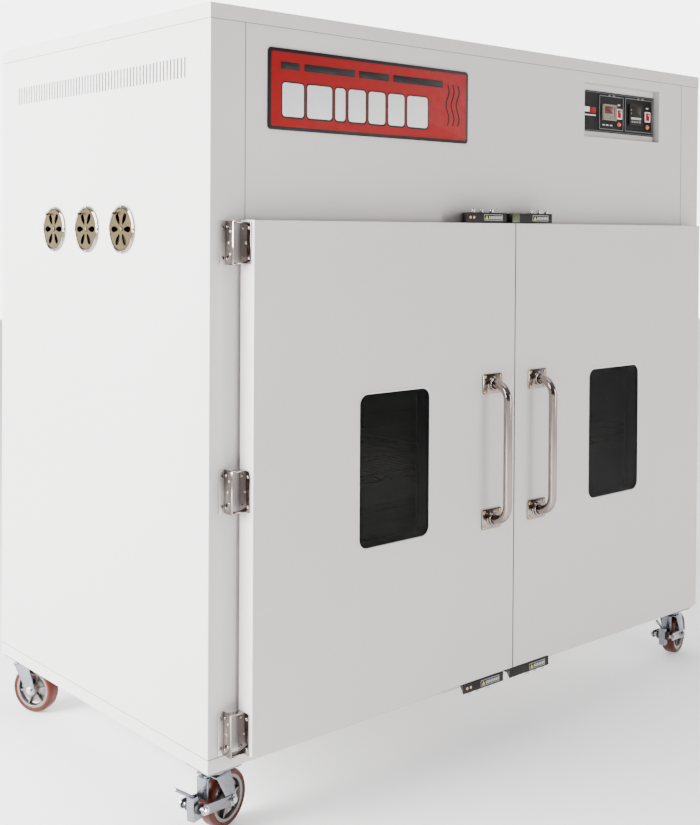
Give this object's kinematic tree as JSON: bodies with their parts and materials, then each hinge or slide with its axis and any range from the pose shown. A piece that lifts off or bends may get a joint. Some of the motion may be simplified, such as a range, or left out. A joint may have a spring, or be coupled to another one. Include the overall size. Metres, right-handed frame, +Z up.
{
  "type": "hot-air drying cabinet",
  "caption": "Large double-door hot-air drying cabinet on swivel casters, with glazed doors, wire shelves, a side louvre band, exhaust dampers and recessed controls.",
  "frame": {"origin": "on the floor, below the centre of the overall box", "axes": "+X to the right along the front, +Z up; the doors face -Y"},
  "size_m": [1.9171, 1.123, 1.774],
  "materials": {
    "body_paint": "powder coat, fine orange peel",
    "liner_steel": "satin stainless sheet",
    "insulation": "mineral wool board",
    "mirror_steel": "mirror-polished stainless",
    "zinc": "bright zinc plate",
    "shelf_chrome": "chromed wire",
    "heater_steel": "oxidised sheath",
    "motor_grey": "satin",
    "impeller_steel": "as cast",
    "vent_brass": "pale polished",
    "panel_black": "semi-gloss",
    "nameplate_red": "gloss print",
    "controller_beige": "moulded",
    "timer_dark": "moulded",
    "switch_white": "moulded",
    "rocker_red": "moulded",
    "lamp_red": "clear red lens",
    "door_glass": "tinted tempered",
    "rim_white": "pale window seal",
    "silicone_red": "red-brown silicone",
    "handle_steel": "polished stainless",
    "screw_gold": "yellow zinc",
    "catch_black": "black anodised look",
    "plunger_steel": "ground",
    "gland_black": "moulded",
    "tread_red": "cast polyurethane"
  },
  "bodies": {
    "cabinet": {"base_tray": "body_paint", "top_cap": "body_paint", "left_side_panel": "body_paint", "right_side_panel": "body_paint", "rear_panel": "body_paint", "front_fascia": "body_paint", "chamber_liner": "liner_steel", "insulation_slabs": "insulation", "wire_shelves": "shelf_chrome", "shelf_posts": "shelf_chrome", "heater_elements": "heater_steel", "fan_motor": "motor_grey", "nameplate": "nameplate_red", "control_panel": "panel_black", "temperature_controller": "controller_beige", "timer_unit": "timer_dark", "switch_housings": "switch_white", "pilot_lamps": "lamp_red", "damper_plates": "vent_brass", "frame_hinges": "mirror_steel", "frame_screws": "zinc", "catch_housings": "catch_black", "cable_gland": "gland_black", "caster_plates": "zinc"},
    "left_door": {"left_door_skin": "body_paint", "left_door_liner": "liner_steel", "left_door_glass": "door_glass", "left_window_rim": "rim_white", "left_door_gasket": "silicone_red", "left_door_handle": "handle_steel", "left_door_screws": "screw_gold", "left_door_hinge_leaves": "mirror_steel"},
    "right_door": {"right_door_skin": "body_paint", "right_door_liner": "liner_steel", "right_door_glass": "door_glass", "right_window_rim": "rim_white", "right_door_gasket": "silicone_red", "right_door_handle": "handle_steel", "right_door_screws": "screw_gold", "right_door_hinge_leaves": "mirror_steel"},
    "damper_disc_front": {"damper_disc_front": "vent_brass"},
    "damper_disc_middle": {"damper_disc_middle": "vent_brass"},
    "damper_disc_rear": {"damper_disc_rear": "vent_brass"},
    "fan": {"fan_impeller": "impeller_steel"},
    "heater_rocker": {"heater_rocker": "rocker_red"},
    "fan_rocker": {"fan_rocker": "rocker_red"},
    "left_upper_catch_plunger": {"left_upper_catch_plunger": "plunger_steel"},
    "left_lower_catch_plunger": {"left_lower_catch_plunger": "plunger_steel"},
    "right_upper_catch_plunger": {"right_upper_catch_plunger": "plunger_steel"},
    "right_lower_catch_plunger": {"right_lower_catch_plunger": "plunger_steel"},
    "front_left_fork": {"front_left_fork": "zinc"},
    "front_left_wheel": {"front_left_wheel": "tread_red"},
    "front_left_brake_lever": {"front_left_brake_lever": "zinc"},
    "front_right_fork": {"front_right_fork": "zinc"},
    "front_right_wheel": {"front_right_wheel": "tread_red"},
    "front_right_brake_lever": {"front_right_brake_lever": "zinc"},
    "rear_left_fork": {"rear_left_fork": "zinc"},
    "rear_left_wheel": {"rear_left_wheel": "tread_red"},
    "rear_right_fork": {"rear_right_fork": "zinc"},
    "rear_right_wheel": {"rear_right_wheel": "tread_red"}
  },
  "joints": [
    {"name": "left_door_hinge", "type": "hinge", "parent": "cabinet", "child": "left_door", "pos_m": [-0.837, -0.4635, 0.752], "axis": [0, 0, -1], "range_deg": [0, 135]},
    {"name": "right_door_hinge", "type": "hinge", "parent": "cabinet", "child": "right_door", "pos_m": [0.867, -0.4635, 0.752], "axis": [0, 0, 1], "range_deg": [0, 135]},
    {"name": "damper_front_turn", "type": "hinge", "parent": "cabinet", "child": "damper_disc_front", "pos_m": [-0.8884, -0.0865, 1.298], "axis": [1, 0, 0], "range_deg": [0, 30]},
    {"name": "damper_middle_turn", "type": "hinge", "parent": "cabinet", "child": "damper_disc_middle", "pos_m": [-0.8884, 0.0775, 1.298], "axis": [1, 0, 0], "range_deg": [0, 30]},
    {"name": "damper_rear_turn", "type": "hinge", "parent": "cabinet", "child": "damper_disc_rear", "pos_m": [-0.8884, 0.2415, 1.298], "axis": [1, 0, 0], "range_deg": [0, 30]},
    {"name": "fan_spin", "type": "hinge", "parent": "cabinet", "child": "fan", "pos_m": [0.015, 0.0795, 1.331], "axis": [0, 0, 1], "continuous": true},
    {"name": "heater_switch", "type": "hinge", "parent": "cabinet", "child": "heater_rocker", "pos_m": [0.5405, -0.4235, 1.637], "axis": [-1, 0, 0], "range_deg": [0, 9]},
    {"name": "fan_switch", "type": "hinge", "parent": "cabinet", "child": "fan_rocker", "pos_m": [0.677, -0.4235, 1.637], "axis": [-1, 0, 0], "range_deg": [0, 9]},
    {"name": "left_upper_catch", "type": "slide", "parent": "cabinet", "child": "left_upper_catch_plunger", "axis": [0, 0, 1], "range_m": [0, 0.005], "stiffness_N_per_m": 800},
    {"name": "left_lower_catch", "type": "slide", "parent": "cabinet", "child": "left_lower_catch_plunger", "axis": [0, 0, -1], "range_m": [0, 0.005], "stiffness_N_per_m": 800},
    {"name": "right_upper_catch", "type": "slide", "parent": "cabinet", "child": "right_upper_catch_plunger", "axis": [0, 0, 1], "range_m": [0, 0.005], "stiffness_N_per_m": 800},
    {"name": "right_lower_catch", "type": "slide", "parent": "cabinet", "child": "right_lower_catch_plunger", "axis": [0, 0, -1], "range_m": [0, 0.005], "stiffness_N_per_m": 800},
    {"name": "front_left_swivel", "type": "hinge", "parent": "cabinet", "child": "front_left_fork", "pos_m": [-0.835, -0.3905, 0.129], "axis": [0, 0, 1], "continuous": true},
    {"name": "front_left_roll", "type": "hinge", "parent": "front_left_fork", "child": "front_left_wheel", "pos_m": [-0.80616, -0.38223, 0.0625], "axis": [-0.2756, 0.9613, 0], "continuous": true},
    {"name": "front_left_brake", "type": "hinge", "parent": "front_left_fork", "child": "front_left_brake_lever", "pos_m": [-0.89652, -0.40814, 0.076], "axis": [0.2756, -0.9613, 0], "range_deg": [0, 40]},
    {"name": "front_right_swivel", "type": "hinge", "parent": "cabinet", "child": "front_right_fork", "pos_m": [0.865, -0.3905, 0.129], "axis": [0, 0, 1], "continuous": true},
    {"name": "front_right_roll", "type": "hinge", "parent": "front_right_fork", "child": "front_right_wheel", "pos_m": [0.89384, -0.38223, 0.0625], "axis": [-0.2756, 0.9613, 0], "continuous": true},
    {"name": "front_right_brake", "type": "hinge", "parent": "front_right_fork", "child": "front_right_brake_lever", "pos_m": [0.80348, -0.40814, 0.076], "axis": [0.2756, -0.9613, 0], "range_deg": [0, 40]},
    {"name": "rear_left_swivel", "type": "hinge", "parent": "cabinet", "child": "rear_left_fork", "pos_m": [-0.835, 0.4895, 0.129], "axis": [0, 0, 1], "continuous": true},
    {"name": "rear_left_roll", "type": "hinge", "parent": "rear_left_fork", "child": "rear_left_wheel", "pos_m": [-0.82185, 0.46254, 0.0625], "axis": [0.8988, 0.4384, 0], "continuous": true},
    {"name": "rear_right_swivel", "type": "hinge", "parent": "cabinet", "child": "rear_right_fork", "pos_m": [0.865, 0.4895, 0.129], "axis": [0, 0, 1], "continuous": true},
    {"name": "rear_right_roll", "type": "hinge", "parent": "rear_right_fork", "child": "rear_right_wheel", "pos_m": [0.87815, 0.46254, 0.0625], "axis": [0.8988, 0.4384, 0], "continuous": true}
  ]
}
